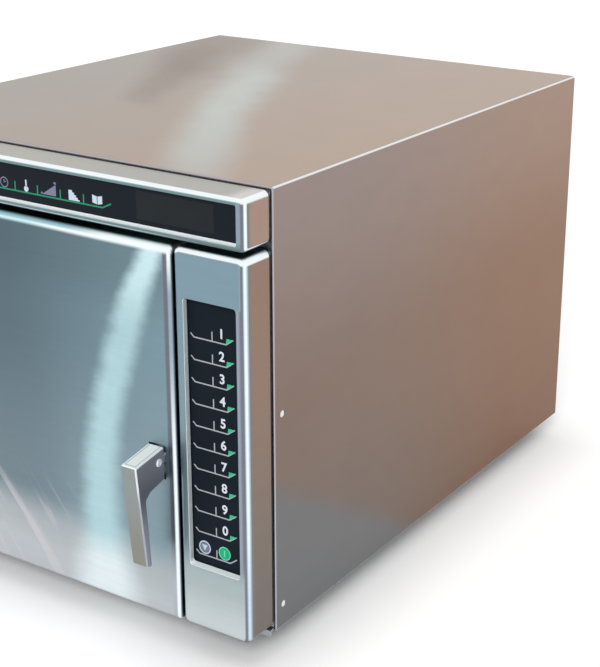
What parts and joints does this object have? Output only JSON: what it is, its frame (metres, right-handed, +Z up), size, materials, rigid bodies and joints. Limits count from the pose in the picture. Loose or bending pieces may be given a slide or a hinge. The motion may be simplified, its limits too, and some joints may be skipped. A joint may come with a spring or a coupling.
{
  "type": "countertop speed oven",
  "caption": "Countertop speed oven: steel case, left-hinged door with a pivoting latch lever, keypad column and display hood, lined cavity with rack, stirrer and convection fan.",
  "frame": {"origin": "under the middle of the whole oven's box, on the surface that the feet stand on", "axes": "+Z up, the door faces -Y, +X towards the keypad side"},
  "size_m": [0.489, 0.6673, 0.428],
  "materials": {
    "case_steel": "warm brushed stainless steel",
    "front_steel": "cool brushed stainless steel",
    "inner_steel": "satin stainless steel",
    "zinc_steel": "dull zinc-coated steel",
    "handle_steel": "satin cast steel",
    "black_glass": "glossy black glass, opaque",
    "black_film": "black film, semi-gloss",
    "black_plastic": "matte black",
    "rubber": "matte black rubber",
    "silicone": "grey silicone",
    "white_plastic": "off-white, satin",
    "ceramic": "unglazed off-white",
    "wadding": "loose mineral wool",
    "circuit": "green circuit board",
    "lacquer": "dark lacquered laminations",
    "element_steel": "dark oxidised element",
    "aluminium": "plain aluminium",
    "filter_mesh": "grey mesh"
  },
  "bodies": {
    "oven": {"outer_case": "case_steel", "back_panel": "case_steel", "chassis_base": "zinc_steel", "front_frame": "zinc_steel", "cable_gland": "black_plastic", "foot_front_left": "rubber", "foot_front_right": "rubber", "foot_rear_left": "rubber", "foot_rear_right": "rubber", "display_hood": "front_steel", "display_panel": "black_glass", "display_board": "circuit", "control_column": "front_steel", "keypad_membrane": "black_film", "control_board": "circuit", "cavity_liner": "inner_steel", "convection_chamber": "inner_steel", "fan_cover": "inner_steel", "rack_guide_left": "inner_steel", "rack_guide_right": "inner_steel", "oven_rack": "inner_steel", "cavity_insulation": "wadding", "cavity_support": "zinc_steel", "stirrer_cover": "ceramic", "waveguide": "aluminium", "stirrer_motor": "zinc_steel", "magnetron": "aluminium", "transformer": "lacquer", "capacitor": "aluminium", "convection_heater": "element_steel", "convection_motor": "lacquer", "cooling_fan_housing": "black_plastic", "air_filter": "filter_mesh", "interlock_switch_upper": "black_plastic", "interlock_switch_lower": "black_plastic", "hinge_plate_upper": "zinc_steel", "hinge_plate_lower": "zinc_steel", "hinge_pin_upper": "zinc_steel", "hinge_pin_lower": "zinc_steel"},
    "door": {"door_skin": "front_steel", "door_inner_panel": "inner_steel", "choke_cover": "white_plastic", "door_seal": "silicone", "door_insulation": "wadding", "handle_bracket": "zinc_steel", "handle_pivot_screw": "inner_steel", "latch_spring": "zinc_steel", "hinge_bush_upper": "white_plastic", "hinge_bush_lower": "white_plastic"},
    "handle": {"handle_lever": "handle_steel"},
    "latch": {"latch_bar": "zinc_steel"},
    "convection_rotor": {"convection_fan": "inner_steel", "convection_shaft": "inner_steel"},
    "stirrer_rotor": {"mode_stirrer": "aluminium"},
    "cooling_rotor": {"cooling_fan": "black_plastic"}
  },
  "joints": [
    {"name": "door_hinge", "type": "hinge", "parent": "oven", "child": "door", "pos_m": [-0.2332, -0.28315, 0.2056], "axis": [0, 0, -1], "range_deg": [0, 110]},
    {"name": "handle_pivot", "type": "hinge", "parent": "door", "child": "handle", "pos_m": [0.1483, -0.30365, 0.184], "axis": [-1, 0, 0], "range_deg": [0, 22], "stiffness_Nm_per_rad": 0.5, "springref_deg": -5.73},
    {"name": "latch_slide", "type": "slide", "parent": "door", "child": "latch", "axis": [0, 0, -1], "range_m": [0, 0.0066], "deforming": ["latch_spring"]},
    {"name": "convection_fan_spin", "type": "hinge", "parent": "oven", "child": "convection_rotor", "pos_m": [-0.03585, 0.13765, 0.2056], "axis": [0, 1, 0], "continuous": true},
    {"name": "stirrer_spin", "type": "hinge", "parent": "oven", "child": "stirrer_rotor", "pos_m": [-0.03585, -0.06485, 0.3391], "axis": [0, 0, 1], "continuous": true},
    {"name": "cooling_fan_spin", "type": "hinge", "parent": "oven", "child": "cooling_rotor", "pos_m": [0.19987, 0.315, 0.275], "axis": [0, 1, 0], "continuous": true}
  ],
  "couplings": [
    {"joint": "latch_slide", "follows": "handle_pivot", "m_per_rad": 0.017}
  ]
}
